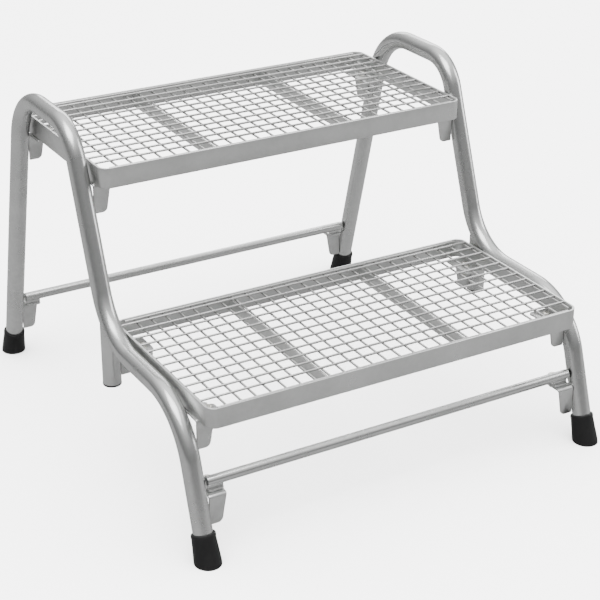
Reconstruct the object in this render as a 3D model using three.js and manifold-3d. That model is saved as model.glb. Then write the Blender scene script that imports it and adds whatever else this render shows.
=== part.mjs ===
// Two-step work stool in bent steel tube: two side frames, two mesh treads, two low cross bars.
// Millimetres, +X to the right across the width, -Y to the front, +Z up, floor at z = 0.
import * as THREE from "three";
import { mergeVertices } from "three/addons/utils/BufferGeometryUtils.js";
import Module from "manifold-3d";

const wasm = await Module();
wasm.setup();

// ---------- driving dimensions ----------
const GAP = 0.3; // clearance left between pieces that touch

const TUBE_R = 12.5; // 25 mm tube, 2 mm wall
const TUBE_BORE_R = 10.5;
const TUBE_SIDES = 14;
const BORE_SIDES = 8;
const FOOT_SIDES = 20;
const HOLE_SIDES = 12;
const TUBE_STEPS = 56;
const FRAME_X = 289; // the plane of each side frame, from the middle of the stool

// Centreline of a side frame in its own plane, as straight legs joined by bends.
// Each leg is y = foot + lean * z, where foot is where it would meet the floor.
const REAR_LEG = { foot: 320, lean: -0.262 };
const UPRIGHT = { foot: -123, lean: 0.368 };
const FRONT_LEG = { foot: -320, lean: 0.33 };
const LOOP_Z = 441; // level top of the hand loop
const RUN_Z = 184.3; // level run beside the lower tread
const BEND_R = { loopRear: 86, loopFront: 56, runRear: 90, runFront: 95 };
const TUBE_END_Z = 9; // height of the tube ends inside the feet

const STUB = { foot: -54.5, lean: 0 }; // short post that carries the lower tread's rear bracket
const STUB_BOTTOM_Z = 122;
const STUB_TOP_Z = 204;
const PLUG = { flange: 2.6, depth: 14, edge: 1.2 };

const FOOT = { topR: 14.8, bottomR: 17.2, boreR: 13.1, height: 38, lip: 1.5 }; // height is along the leg

const TREAD = { width: 548, depth: 270, rim: 27, wall: 3, cornerR: 14 };
const TREADS = [
  { level: "lower", top: 196, front: -301.5, frontLeg: FRONT_LEG, rearLeg: STUB },
  { level: "upper", top: 400, front: -18, frontLeg: UPRIGHT, rearLeg: REAR_LEG },
];
const PITCH = 20.5; // mesh opening, centre to centre, both ways
const WIRE_R = 2.25; // around the three-sided wire, which is as thick as a 3 mm round one
const WIRE_BITE = 0.5; // how far the crossing wires sink into each other
const WIRE_DEPTH = 0.2; // top of the mesh below the rim's top
const LONG_WIRES = 12;
const SHORT_WIRES = 25;
const FIRST_LONG_WIRE = 29.7; // from the front edge
const SUPPORT_BARS = [
  { hand: "left", x: -105 },
  { hand: "right", x: 100 }, // ten mesh pitches from the other
];
const SUPPORT_BAR = { height: 18, thickness: 3 };
const CORNER_PLATE = { x: 30, y: 54 };
const TREAD_BOLT = { x: 254, inset: 42 }; // from the middle, and from the tread's front or rear edge

const BRACKET = {
  thickness: 3,
  flangeDepth: 38,
  plateTop: 37, // from the frame plane towards the middle, as the other reaches
  plateFoot: 30,
  plateHeight: 40,
  corner: 6,
};
const FLANGE_REACH = { tread: 45, bar: 38 };
const CROSS_BAR = { r: 6.5, boreR: 5, halfLength: 273.5, z: 93 };
const CROSS_BARS = [
  { end: "front", leg: FRONT_LEG, flangeDepth: BRACKET.flangeDepth },
  { end: "rear", leg: REAR_LEG, flangeDepth: 30 },
];
const BAR_FOOT = { thickness: 3, drop: 7.2, width: 21.5, front: 5, rear: 26 };
const BAR_BOLT = { x: 263, y: 18 }; // from the middle, and from the bar's axis

const BOLT = { headR: 5.8, headHeight: 4, flangeR: 7, flange: 1.2, shankR: 3, length: 15, holeR: 3.5 };
const NUT_HEIGHT = 5;
const SIDES = [
  { side: "left", sign: -1 },
  { side: "right", sign: 1 },
];

// ---------- materials ----------
const steel = () => new THREE.MeshStandardMaterial({ color: 0xb4b6b5, roughness: 0.38, metalness: 1 });
const wireSteel = () => new THREE.MeshStandardMaterial({ color: 0xc6c7c4, roughness: 0.42, metalness: 1 });
const boltSteel = () => new THREE.MeshStandardMaterial({ color: 0xa9aaa6, roughness: 0.35, metalness: 1 });
const rubber = () => new THREE.MeshStandardMaterial({ color: 0x1b1b1c, roughness: 0.75, metalness: 0 });

// ---------- solids ----------
function toSolid(geometry) {
  const bare = geometry.clone();
  bare.deleteAttribute("normal");
  bare.deleteAttribute("uv");
  const merged = mergeVertices(bare, 1e-4);
  return new wasm.Manifold(
    new wasm.Mesh({
      numProp: 3,
      vertProperties: merged.attributes.position.array,
      triVerts: new Uint32Array(merged.index.array),
    }),
  );
}

function toGeometry(solid) {
  const mesh = solid.getMesh();
  return new THREE.BufferGeometry()
    .setAttribute("position", new THREE.BufferAttribute(mesh.vertProperties, 3))
    .setIndex(new THREE.BufferAttribute(mesh.triVerts, 1));
}

const join = (solids) => solids.reduce((whole, piece) => whole.add(piece));

// A box from its lowest to its highest corner.
function box(low, high) {
  const size = high.map((value, axis) => value - low[axis]);
  const geometry = new THREE.BoxGeometry(...size);
  return toSolid(geometry.translate(...low.map((value, axis) => value + size[axis] / 2)));
}

// An upright cylinder or prism from z = low to z = high.
function post(radius, low, high, sides) {
  const geometry = new THREE.CylinderGeometry(radius, radius, high - low, sides);
  return toSolid(geometry.rotateX(Math.PI / 2).translate(0, 0, (low + high) / 2));
}

// A cutter for a bolt hole through a plate that is BRACKET.thickness thick and starts at z = low.
const boltHole = (low, x, y) =>
  post(BOLT.holeR, low - 1, low + BRACKET.thickness + 1, HOLE_SIDES).translate(x, y, 0);

function roundOutline(radius, sides) {
  const points = [];
  for (let i = 0; i < sides; i++) {
    const angle = (2 * Math.PI * i) / sides;
    points.push(new THREE.Vector2(radius * Math.cos(angle), radius * Math.sin(angle)));
  }
  return points;
}

// ---------- the side frame's centreline ----------
const onLeg = (leg, z) => new THREE.Vector2(leg.foot + leg.lean * z, z);

// Straight lines through the corners, with an arc of the given radius at each inner corner.
function filletPath(corners, radii) {
  const path = new THREE.Path();
  path.moveTo(corners[0].x, corners[0].y);
  radii.forEach((radius, i) => {
    const corner = corners[i + 1];
    const back = corners[i].clone().sub(corner).normalize();
    const ahead = corners[i + 2].clone().sub(corner).normalize();
    const half = back.angleTo(ahead) / 2;
    const start = corner.clone().addScaledVector(back, radius / Math.tan(half));
    const end = corner.clone().addScaledVector(ahead, radius / Math.tan(half));
    const centre = back.clone().add(ahead).setLength(radius / Math.sin(half)).add(corner);
    const clockwise = back.cross(ahead) > 0;
    path.lineTo(start.x, start.y);
    path.absarc(centre.x, centre.y, radius, angleFrom(centre, start), angleFrom(centre, end), clockwise);
  });
  const last = corners[corners.length - 1];
  path.lineTo(last.x, last.y);
  return path;
}

const angleFrom = (centre, point) => Math.atan2(point.y - centre.y, point.x - centre.x);

const framePath = filletPath(
  [
    onLeg(REAR_LEG, TUBE_END_Z),
    onLeg(REAR_LEG, LOOP_Z),
    onLeg(UPRIGHT, LOOP_Z),
    onLeg(UPRIGHT, RUN_Z),
    onLeg(FRONT_LEG, RUN_Z),
    onLeg(FRONT_LEG, TUBE_END_Z),
  ],
  [BEND_R.loopRear, BEND_R.loopFront, BEND_R.runRear, BEND_R.runFront],
);

// The flat path stood up in the plane of the side frame.
class FrameCurve extends THREE.Curve {
  getPoint(t, target = new THREE.Vector3()) {
    const point = framePath.getPoint(t);
    return target.set(0, point.x, point.y);
  }
}

function alongFrame(outline) {
  return new THREE.ExtrudeGeometry(outline, {
    extrudePath: new FrameCurve(),
    steps: TUBE_STEPS,
    curveSegments: 1,
  });
}

function frameTube() {
  const section = new THREE.Shape(roundOutline(TUBE_R, TUBE_SIDES));
  section.holes.push(new THREE.Path(roundOutline(TUBE_BORE_R, BORE_SIDES)));
  return alongFrame(section);
}

// The space that the frame tube takes, with its clearance.
const frameSpace = toSolid(alongFrame(new THREE.Shape(roundOutline(TUBE_R + GAP + 0.1, TUBE_SIDES))));

// ---------- pieces of a side frame, in the frame's own plane ----------
function stubPost() {
  const wall = post(TUBE_R, STUB_BOTTOM_Z, STUB_TOP_Z, TUBE_SIDES);
  const bore = post(TUBE_BORE_R, STUB_BOTTOM_Z - 1, STUB_TOP_Z + 1, TUBE_SIDES);
  const tube = wall.subtract(bore).translate(0, STUB.foot, 0).subtract(frameSpace);
  const largestFirst = tube.decompose().sort((a, b) => b.volume() - a.volume());
  return toGeometry(largestFirst[0]);
}

function stubPlug() {
  const seat = STUB_BOTTOM_Z - GAP;
  const bottom = seat - PLUG.flange;
  const profile = [
    new THREE.Vector2(0, bottom),
    new THREE.Vector2(TUBE_R - PLUG.edge, bottom),
    new THREE.Vector2(TUBE_R, bottom + PLUG.edge),
    new THREE.Vector2(TUBE_R, seat),
    new THREE.Vector2(TUBE_BORE_R - 2 * GAP, seat),
    new THREE.Vector2(TUBE_BORE_R - 3 * GAP, seat + PLUG.depth),
    new THREE.Vector2(0, seat + PLUG.depth),
  ];
  return new THREE.LatheGeometry(profile, TUBE_SIDES).rotateX(Math.PI / 2).translate(0, STUB.foot, 0);
}

// A rubber ferrule on a leg's axis, cut level with the floor.
function legFoot(leg) {
  const boreEnd = TUBE_END_Z * Math.hypot(1, leg.lean) - GAP;
  const below = -FOOT.bottomR;
  const profile = [
    new THREE.Vector2(0, below),
    new THREE.Vector2(FOOT.bottomR, below),
    new THREE.Vector2(FOOT.bottomR, 2 * FOOT.lip),
    new THREE.Vector2(FOOT.topR, FOOT.height - FOOT.lip),
    new THREE.Vector2(FOOT.topR - FOOT.lip / 2, FOOT.height),
    new THREE.Vector2(FOOT.boreR, FOOT.height),
    new THREE.Vector2(FOOT.boreR, boreEnd),
    new THREE.Vector2(0, boreEnd),
  ];
  const ferrule = new THREE.LatheGeometry(profile, FOOT_SIDES)
    .rotateX(Math.PI / 2)
    .rotateX(-Math.atan(leg.lean))
    .translate(0, leg.foot, 0);
  const floor = box([-50, leg.foot - 50, -60], [50, leg.foot + 50, 0]);
  return toGeometry(toSolid(ferrule).subtract(floor));
}

// ---------- brackets ----------
// A bent plate: a tapered upright leg in the plane across the stool, with a bolting flange on top.
// It is drawn with the flange top at z = 0, the frame plane at x = 0 and the middle of the stool
// towards +x; the flange runs towards +y. The bolt's place is given from the same corner.
function bracket(reach, flangeDepth, boltX, boltY) {
  const start = TUBE_R + GAP;
  const outline = new THREE.Shape();
  outline.moveTo(start, 0);
  outline.lineTo(BRACKET.plateTop, 0);
  outline.lineTo(BRACKET.plateFoot + BRACKET.corner / 4, -BRACKET.plateHeight + BRACKET.corner);
  outline.quadraticCurveTo(
    BRACKET.plateFoot,
    -BRACKET.plateHeight,
    BRACKET.plateFoot - BRACKET.corner,
    -BRACKET.plateHeight,
  );
  outline.lineTo(start, -BRACKET.plateHeight);
  const plate = new THREE.ExtrudeGeometry(outline, {
    depth: BRACKET.thickness,
    bevelEnabled: false,
    curveSegments: 3,
  }).rotateX(Math.PI / 2).translate(0, BRACKET.thickness, 0);
  const flange = box([start, 0, -BRACKET.thickness], [reach, flangeDepth, 0]);
  return toSolid(plate).add(flange).subtract(boltHole(-BRACKET.thickness, boltX, boltY));
}

// ---------- treads, drawn with the front edge at y = 0 and the top at z = 0 ----------
function roundedRectangle(halfWidth, depth, inset, radius) {
  const left = -halfWidth + inset;
  const right = halfWidth - inset;
  const front = inset;
  const rear = depth - inset;
  const shape = new THREE.Shape();
  shape.moveTo(left + radius, front);
  shape.lineTo(right - radius, front);
  shape.absarc(right - radius, front + radius, radius, -Math.PI / 2, 0, false);
  shape.lineTo(right, rear - radius);
  shape.absarc(right - radius, rear - radius, radius, 0, Math.PI / 2, false);
  shape.lineTo(left + radius, rear);
  shape.absarc(left + radius, rear - radius, radius, Math.PI / 2, Math.PI, false);
  shape.lineTo(left, front + radius);
  shape.absarc(left + radius, front + radius, radius, Math.PI, 1.5 * Math.PI, false);
  return shape;
}

// The flat-bar rim with a bolting plate welded into each lower corner.
function treadRim() {
  const { width, depth, rim, wall, cornerR } = TREAD;
  const outline = roundedRectangle(width / 2, depth, 0, cornerR);
  outline.holes.push(roundedRectangle(width / 2, depth, wall, cornerR - wall));
  const ring = toSolid(
    new THREE.ExtrudeGeometry(outline, { depth: rim, bevelEnabled: false, curveSegments: 4 }).translate(0, 0, -rim),
  );
  const plates = [-1, 1].flatMap((sign) =>
    [0, 1].map((rear) => {
      const inner = sign * (width / 2 - wall - CORNER_PLATE.x);
      const outer = sign * (width / 2 - 0.5 * wall);
      const near = rear ? depth - CORNER_PLATE.y : 4 * wall;
      const far = rear ? depth - 4 * wall : CORNER_PLATE.y;
      const plate = box([Math.min(inner, outer), near, -rim], [Math.max(inner, outer), far, -rim + wall]);
      const boltY = rear ? depth - TREAD_BOLT.inset : TREAD_BOLT.inset;
      return plate.subtract(boltHole(-rim, sign * TREAD_BOLT.x, boltY));
    }),
  );
  return join([ring, ...plates]);
}

// A three-sided wire along y, from y = 0, with the middle of its flat side on the origin. The edge
// opposite that side points up, or down where the wire is turned over.
function wire(length, turnedOver) {
  const prism = new THREE.CylinderGeometry(WIRE_R, WIRE_R, length, 3)
    .translate(0, length / 2, WIRE_R / 2)
    .rotateY(turnedOver ? Math.PI : 0);
  return toSolid(prism);
}

const wireHeight = 1.5 * WIRE_R;
const longWireTop = -WIRE_DEPTH;
const shortWireBottom = longWireTop - 2 * wireHeight + WIRE_BITE;

// Long wires lie flat side up across the short ones, which stand edge up.
function treadMesh() {
  const inside = TREAD.wall + GAP;
  const wires = [];
  for (let i = 0; i < SHORT_WIRES; i++) {
    const x = (i - (SHORT_WIRES - 1) / 2) * PITCH;
    wires.push(wire(TREAD.depth - 2 * inside, false).translate(x, inside, shortWireBottom));
  }
  for (let j = 0; j < LONG_WIRES; j++) {
    const y = FIRST_LONG_WIRE + j * PITCH;
    const across = wire(TREAD.width - 2 * inside, true).rotate(0, 0, -90);
    wires.push(across.translate(-TREAD.width / 2 + inside, y, longWireTop));
  }
  // Border wires run beside the rim and stop short of its round corners.
  const beside = inside + WIRE_R;
  for (const y of [beside, TREAD.depth - beside]) {
    const across = wire(TREAD.width - 2 * TREAD.cornerR, true).rotate(0, 0, -90);
    wires.push(across.translate(-TREAD.width / 2 + TREAD.cornerR, y, longWireTop));
  }
  for (const sign of [-1, 1]) {
    const x = sign * (TREAD.width / 2 - beside);
    wires.push(wire(TREAD.depth - 2 * TREAD.cornerR, false).translate(x, TREAD.cornerR, shortWireBottom));
  }
  return join(wires);
}

function supportBar(x) {
  const inside = TREAD.wall + GAP;
  const top = shortWireBottom - GAP;
  const half = SUPPORT_BAR.thickness / 2;
  return box([x - half, inside, top - SUPPORT_BAR.height], [x + half, TREAD.depth - inside, top]);
}

// ---------- cross bars, drawn with the axis at y = 0, z = 0 ----------
function crossBar() {
  const tube = new THREE.Shape(roundOutline(CROSS_BAR.r, TUBE_SIDES));
  tube.holes.push(new THREE.Path(roundOutline(CROSS_BAR.boreR, BORE_SIDES)));
  const bar = toSolid(
    new THREE.ExtrudeGeometry(tube, { depth: 2 * CROSS_BAR.halfLength, bevelEnabled: false })
      .translate(0, 0, -CROSS_BAR.halfLength)
      .rotateY(Math.PI / 2),
  );
  const bottom = -CROSS_BAR.r - BAR_FOOT.drop;
  const half = BAR_FOOT.thickness / 2;
  const feet = [-1, 1].flatMap((sign) => {
    const outer = sign * (CROSS_BAR.halfLength - 1);
    const inner = outer - sign * BAR_FOOT.width;
    const low = Math.min(outer, inner);
    const high = Math.max(outer, inner);
    const web = box([low, -half, bottom], [high, half, -CROSS_BAR.boreR - half / 2]);
    const tab = box([low, -BAR_FOOT.front, bottom], [high, BAR_FOOT.rear, bottom + BAR_FOOT.thickness]);
    return [web, tab.subtract(boltHole(bottom, sign * BAR_BOLT.x, BAR_BOLT.y))];
  });
  return join([bar, ...feet]);
}

// ---------- fasteners, drawn on the z axis with the seat of the head at z = 0 ----------
function bolt() {
  const flange = post(BOLT.flangeR, 0, BOLT.flange, HOLE_SIDES);
  const head = post(BOLT.headR, BOLT.flange / 2, BOLT.flange + BOLT.headHeight, 6);
  const shank = post(BOLT.shankR, -BOLT.length, BOLT.flange / 2, 8);
  return join([flange, head, shank]);
}

// A nut whose upper face is at z = seat.
function nut(seat) {
  const hex = post(BOLT.headR, seat - NUT_HEIGHT, seat, 6);
  return hex.subtract(post(BOLT.holeR, seat - NUT_HEIGHT - 1, seat + 1, 8));
}

// ---------- assembly ----------
const stool = new THREE.Group();

function place(parent, name, shape, material, position = [0, 0, 0]) {
  const geometry = shape.isBufferGeometry ? shape : toGeometry(shape);
  const mesh = new THREE.Mesh(geometry, material);
  mesh.name = name;
  mesh.position.set(...position);
  parent.add(mesh);
}

const legYAt = (leg, z) => leg.foot + leg.lean * z;

// A bracket on a leg, and the bolt and nut that hold a plate down on its flange.
function bracketJoint(label, sign, leg, flangeTop, reach, boltAt, flangeDepth = BRACKET.flangeDepth) {
  const plateY = legYAt(leg, flangeTop - BRACKET.plateHeight / 2);
  const inward = Math.sign(boltAt.y - plateY);
  const plateFace = plateY - (inward * BRACKET.thickness) / 2;
  let shape = bracket(reach, flangeDepth, FRAME_X - boltAt.x, Math.abs(boltAt.y - plateFace));
  if (sign > 0) shape = shape.mirror([1, 0, 0]);
  if (inward < 0) shape = shape.mirror([0, 1, 0]);
  place(stool, "bracket_" + label, shape, steel(), [sign * FRAME_X, plateFace, flangeTop]);

  const headSeat = flangeTop + BRACKET.thickness + 2 * GAP;
  const nutSeat = flangeTop - BRACKET.thickness - GAP - headSeat;
  place(stool, "bolt_" + label, bolt(), boltSteel(), [sign * boltAt.x, boltAt.y, headSeat]);
  place(stool, "nut_" + label, nut(nutSeat), boltSteel(), [sign * boltAt.x, boltAt.y, headSeat]);
}

for (const { side, sign } of SIDES) {
  const frame = new THREE.Group();
  frame.position.x = sign * FRAME_X;
  stool.add(frame);
  place(frame, "side_tube_" + side, frameTube(), steel());
  place(frame, "stub_post_" + side, stubPost(), steel());
  place(frame, "stub_plug_" + side, stubPlug(), rubber());
  place(frame, "foot_front_" + side, legFoot(FRONT_LEG), rubber());
  place(frame, "foot_rear_" + side, legFoot(REAR_LEG), rubber());
}

for (const { level, top, front, frontLeg, rearLeg } of TREADS) {
  const tread = new THREE.Group();
  tread.position.set(0, front, top);
  stool.add(tread);
  place(tread, "tread_rim_" + level, treadRim(), steel());
  place(tread, "tread_mesh_" + level, treadMesh(), wireSteel());
  for (const { hand, x } of SUPPORT_BARS) {
    place(tread, `tread_bar_${level}_${hand}`, supportBar(x), steel());
  }

  const flangeTop = top - TREAD.rim - GAP;
  const frontBolt = { x: TREAD_BOLT.x, y: front + TREAD_BOLT.inset };
  const rearBolt = { x: TREAD_BOLT.x, y: front + TREAD.depth - TREAD_BOLT.inset };
  for (const { side, sign } of SIDES) {
    bracketJoint(`${level}_front_${side}`, sign, frontLeg, flangeTop, FLANGE_REACH.tread, frontBolt);
    bracketJoint(`${level}_rear_${side}`, sign, rearLeg, flangeTop, FLANGE_REACH.tread, rearBolt);
  }
}

for (const { end, leg, flangeDepth } of CROSS_BARS) {
  const barY = legYAt(leg, CROSS_BAR.z);
  place(stool, "cross_bar_" + end, crossBar(), steel(), [0, barY, CROSS_BAR.z]);
  const flangeTop = CROSS_BAR.z - CROSS_BAR.r - BAR_FOOT.drop - GAP;
  const barBolt = { x: BAR_BOLT.x, y: barY + BAR_BOLT.y };
  for (const { side, sign } of SIDES) {
    bracketJoint(`bar_${end}_${side}`, sign, leg, flangeTop, FLANGE_REACH.bar, barBolt, flangeDepth);
  }
}

export default stool;
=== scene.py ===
"""Two-step work stool: finished surfaces modelled around its fixed frame.

Metres, front at -Y, +Z up.
"""

import math

import bmesh
import bpy
from bpy.props import FloatProperty, FloatVectorProperty, IntProperty, PointerProperty
from bpy.types import Operator, Panel, PropertyGroup
from mathutils import Matrix, Vector


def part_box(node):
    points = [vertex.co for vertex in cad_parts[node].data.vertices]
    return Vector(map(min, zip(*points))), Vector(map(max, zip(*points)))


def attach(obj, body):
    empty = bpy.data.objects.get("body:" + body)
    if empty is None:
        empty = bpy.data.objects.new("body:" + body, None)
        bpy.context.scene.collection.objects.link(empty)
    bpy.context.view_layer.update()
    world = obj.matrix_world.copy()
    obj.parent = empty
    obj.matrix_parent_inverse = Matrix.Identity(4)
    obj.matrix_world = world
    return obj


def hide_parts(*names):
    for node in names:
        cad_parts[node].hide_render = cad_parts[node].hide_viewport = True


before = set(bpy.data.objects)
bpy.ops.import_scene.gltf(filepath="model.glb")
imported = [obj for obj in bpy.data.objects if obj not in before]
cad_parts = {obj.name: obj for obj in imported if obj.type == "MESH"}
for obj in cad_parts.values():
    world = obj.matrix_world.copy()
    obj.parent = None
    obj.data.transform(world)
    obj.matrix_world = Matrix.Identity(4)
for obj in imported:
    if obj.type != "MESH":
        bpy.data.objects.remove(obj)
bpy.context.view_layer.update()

bl_info = {
    "name": "Two-step work stool",
    "version": (1, 0, 0),
    "blender": (4, 5, 0),
    "location": "View3D > Sidebar > Stool",
    "description": "Models the finished surfaces of a two-step tubular steel work stool",
    "category": "Object",
}

SIDES = (("left", -1), ("right", 1))
LEVELS = ("lower", "upper")
ENDS = (("front", 1), ("rear", -1))  # and which way the stool's middle lies along Y


# ---------- places taken from the frame ----------
def middle(node):
    """The middle of a CAD node's box."""
    low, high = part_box(node)
    return (low + high) / 2


def extent(node):
    """The size of a CAD node's box."""
    low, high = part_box(node)
    return high - low


FRAME_X = middle("side_tube_right").x
TUBE_R = extent("side_tube_right").x / 2
LOOP_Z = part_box("side_tube_right")[1].z - TUBE_R
TUBE_END_Z = 0.009
RUN_Z = 0.1843

# Each straight leg of a side tube is y = foot + lean * z in the tube's own plane.
LEGS = {"rear": (0.320, -0.262), "upright": (-0.123, 0.368), "front": (-0.320, 0.330)}
BEND_RADII = (0.086, 0.056, 0.090, 0.095)


def on_leg(leg, height):
    """The point of a leg's centreline at a height, in the side tube's own plane."""
    foot, lean = LEGS[leg]
    return Vector((0, foot + lean * height, height))


# ---------- sizes and colours a user would change ----------
class StoolSizes(PropertyGroup):
    """Sizes that shape the finished surfaces."""

    tube_wall: FloatProperty(
        name="Tube wall", description="Wall thickness of the side tubes",
        default=0.002, unit="LENGTH",
    )
    tube_sides: IntProperty(
        name="Tube sides", description="Faces around each side tube", default=48, min=12,
    )
    bend_steps: IntProperty(
        name="Bend steps", description="Rings of faces through each bend", default=22, min=6,
    )
    rim_corner: FloatProperty(
        name="Rim corner", description="Outer corner radius of a tread's rim",
        default=0.014, unit="LENGTH",
    )
    rim_wall: FloatProperty(
        name="Rim wall", description="Thickness of the flat bar and plate",
        default=0.003, unit="LENGTH",
    )
    wire: FloatProperty(
        name="Wire", description="Diameter of the mesh wire",
        default=0.003, unit="LENGTH",
    )
    pitch: FloatProperty(
        name="Pitch", description="Spacing of the mesh wires, middle to middle",
        default=0.0205, unit="LENGTH",
    )
    soft_edge: FloatProperty(
        name="Soft edge", description="Rounding of rolled and sheared edges",
        default=0.0006, unit="LENGTH",
    )


class StoolFinishes(PropertyGroup):
    """Colours of the finishes and of the stage."""

    zinc: FloatVectorProperty(
        name="Zinc", description="Pale tone of the zinc on tube and plate",
        default=(0.60, 0.605, 0.60), subtype="COLOR", min=0, max=1,
    )
    dull_zinc: FloatVectorProperty(
        name="Dull zinc", description="Duller patches of the zinc",
        default=(0.46, 0.465, 0.46), subtype="COLOR", min=0, max=1,
    )
    wire: FloatVectorProperty(
        name="Wire", description="Tone of the drawn mesh wire",
        default=(0.46, 0.46, 0.455), subtype="COLOR", min=0, max=1,
    )
    rubber: FloatVectorProperty(
        name="Rubber", description="Colour of the feet and plugs",
        default=(0.0016, 0.0016, 0.0017), subtype="COLOR", min=0, max=1,
    )
    floor: FloatVectorProperty(
        name="Floor", description="Colour of the studio floor",
        default=(0.90, 0.90, 0.90), subtype="COLOR", min=0, max=1,
    )


# ---------- modelling helpers ----------
SAME_LENGTH = 1e-5
MERGE_DISTANCE = 1e-6


def only(piece):
    """Leaves one object selected and active."""
    if bpy.context.object and bpy.context.object.mode != "OBJECT":
        bpy.ops.object.mode_set(mode="OBJECT")
    bpy.ops.object.select_all(action="DESELECT")
    piece.select_set(True)
    bpy.context.view_layer.objects.active = piece


def settle():
    """Puts the active object's place, turn and scale into its mesh."""
    bpy.ops.object.transform_apply(location=True, rotation=True, scale=True)


def open_new(name):
    """Names the primitive just added, settles it and opens its mesh for shaping."""
    piece = bpy.context.object
    piece.name = name
    piece.data.name = name
    settle()
    bpy.ops.object.mode_set(mode="EDIT")
    return piece


def close_shape():
    """Leaves edit mode."""
    bpy.ops.object.mode_set(mode="OBJECT")


def pick(piece, kind, test):
    """In edit mode, selects the vertices, edges or faces that pass a test."""
    bpy.ops.mesh.select_mode(type=kind)
    bpy.ops.mesh.select_all(action="DESELECT")
    mesh = bmesh.from_edit_mesh(piece.data)
    elements = {"VERT": mesh.verts, "EDGE": mesh.edges, "FACE": mesh.faces}[kind]
    for element in elements:
        if test(element):
            element.select_set(True)
    mesh.select_flush_mode()
    bmesh.update_edit_mesh(piece.data)


def edge_middle(edge):
    """The middle of an edge."""
    return (edge.verts[0].co + edge.verts[1].co) / 2


def near(a, b):
    """Whether two lengths match to a hundredth of a millimetre."""
    return abs(a - b) < SAME_LENGTH


def is_upright(edge):
    """Whether an edge leads from one height to another."""
    return not near(edge.verts[0].co.z, edge.verts[1].co.z)


def extrude_by(offset):
    """In edit mode, draws the selection out by an offset."""
    bpy.ops.mesh.extrude_region_move(TRANSFORM_OT_translate={"value": offset})


def face_outwards():
    """In edit mode, merges doubles and turns every face of a closed shape outwards."""
    bpy.ops.mesh.select_all(action="SELECT")
    bpy.ops.mesh.remove_doubles(threshold=MERGE_DISTANCE)
    bpy.ops.mesh.normals_make_consistent(inside=False)


def finish_with(piece, kind, **settings):
    """Adds a modifier and applies it."""
    only(piece)
    modifier = piece.modifiers.new(kind.title(), kind)
    for name, value in settings.items():
        setattr(modifier, name, value)
    bpy.ops.object.modifier_apply(modifier=modifier.name)


def soften(piece, width, segments=3, angle=40):
    """Rounds every edge that is sharper than an angle in degrees."""
    finish_with(
        piece, "BEVEL", width=width, segments=segments, limit_method="ANGLE",
        angle_limit=math.radians(angle), miter_outer="MITER_ARC",
    )


def thicken(piece, wall):
    """Gives an open shell its wall, inwards from its faces."""
    finish_with(piece, "SOLIDIFY", thickness=wall, offset=-1.0, use_even_offset=True)


def join(pieces):
    """Joins pieces into the first one."""
    only(pieces[0])
    for piece in pieces[1:]:
        piece.select_set(True)
    bpy.ops.object.join()
    return pieces[0]


def block(name, low, high):
    """A rectangular bar between two corners, in object mode."""
    low, high = Vector(low), Vector(high)
    bpy.ops.object.select_all(action="DESELECT")
    bpy.ops.mesh.primitive_cube_add(size=1, location=(low + high) / 2)
    piece = bpy.context.object
    piece.scale = high - low
    open_new(name)
    close_shape()
    return piece


def turned(name, profile, sides):
    """A solid turned on the z axis, drawn out ring by ring through a profile of (radius, z)."""
    (radius, level), *rest = profile
    bpy.ops.object.select_all(action="DESELECT")
    bpy.ops.mesh.primitive_circle_add(
        vertices=sides, radius=radius, fill_type="NGON", location=(0, 0, level)
    )
    piece = open_new(name)
    bpy.ops.mesh.select_mode(type="FACE")
    bpy.ops.mesh.select_all(action="SELECT")
    for next_radius, next_level in rest:
        extrude_by((0, 0, next_level - level))
        share = next_radius / radius
        bpy.ops.transform.resize(value=(share, share, 1), center_override=(0, 0, next_level))
        radius, level = next_radius, next_level
    face_outwards()
    close_shape()
    return piece


def copy_of(piece, name, mirror=(1, 1, 1)):
    """A copy with its own mesh, mirrored about the origin where asked."""
    only(piece)
    bpy.ops.object.duplicate(linked=False)
    twin = bpy.context.object
    twin.name = name
    twin.data.name = name
    twin.scale = mirror
    settle()
    if mirror[0] * mirror[1] * mirror[2] < 0:
        bpy.ops.object.mode_set(mode="EDIT")
        face_outwards()
        close_shape()
    return twin


def move_by(piece, offset):
    """Moves a piece and settles it."""
    only(piece)
    piece.location = offset
    settle()


def box_middle(piece):
    """The middle of a piece's own box."""
    corners = [Vector(corner) for corner in piece.bound_box]
    low = Vector(map(min, zip(*corners)))
    high = Vector(map(max, zip(*corners)))
    return (low + high) / 2


def fit_to(piece, node):
    """Moves a piece so that its box has the same middle as a CAD node's."""
    bpy.context.view_layer.update()
    move_by(piece, middle(node) - box_middle(piece))


def deliver(piece, node, material, angle=35):
    """Shades a finished piece, gives it its material and puts it in place of its CAD node."""
    only(piece)
    bpy.ops.object.shade_smooth_by_angle(angle=math.radians(angle))
    piece.data.materials.clear()
    piece.data.materials.append(material)
    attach(piece, "root")
    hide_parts(node)


def discard(piece):
    """Removes a pattern piece once its copies are made."""
    bpy.data.objects.remove(piece)


# ---------- shader node groups ----------
def new_group(name, inputs, outputs):
    """An empty shader group with named sockets, and its input and output nodes."""
    tree = bpy.data.node_groups.new(name, "ShaderNodeTree")
    for label, kind, value in inputs:
        socket = tree.interface.new_socket(
            name=label, in_out="INPUT", socket_type="NodeSocket" + kind
        )
        if value is not None:
            socket.default_value = value
    for label, kind in outputs:
        tree.interface.new_socket(name=label, in_out="OUTPUT", socket_type="NodeSocket" + kind)
    return tree, tree.nodes.new("NodeGroupInput"), tree.nodes.new("NodeGroupOutput")


def connect(tree, node, links):
    """Links or sets a node's inputs, each by its socket's name or number."""
    for socket, source in links.items():
        if isinstance(source, bpy.types.NodeSocket):
            tree.links.new(source, node.inputs[socket])
        else:
            node.inputs[socket].default_value = source
    return node


def add_node(tree, kind, links, **settings):
    """Adds a node, sets its properties and links or sets its inputs."""
    made = tree.nodes.new("ShaderNode" + kind)
    for name, value in settings.items():
        setattr(made, name, value)
    return connect(tree, made, links)


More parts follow.
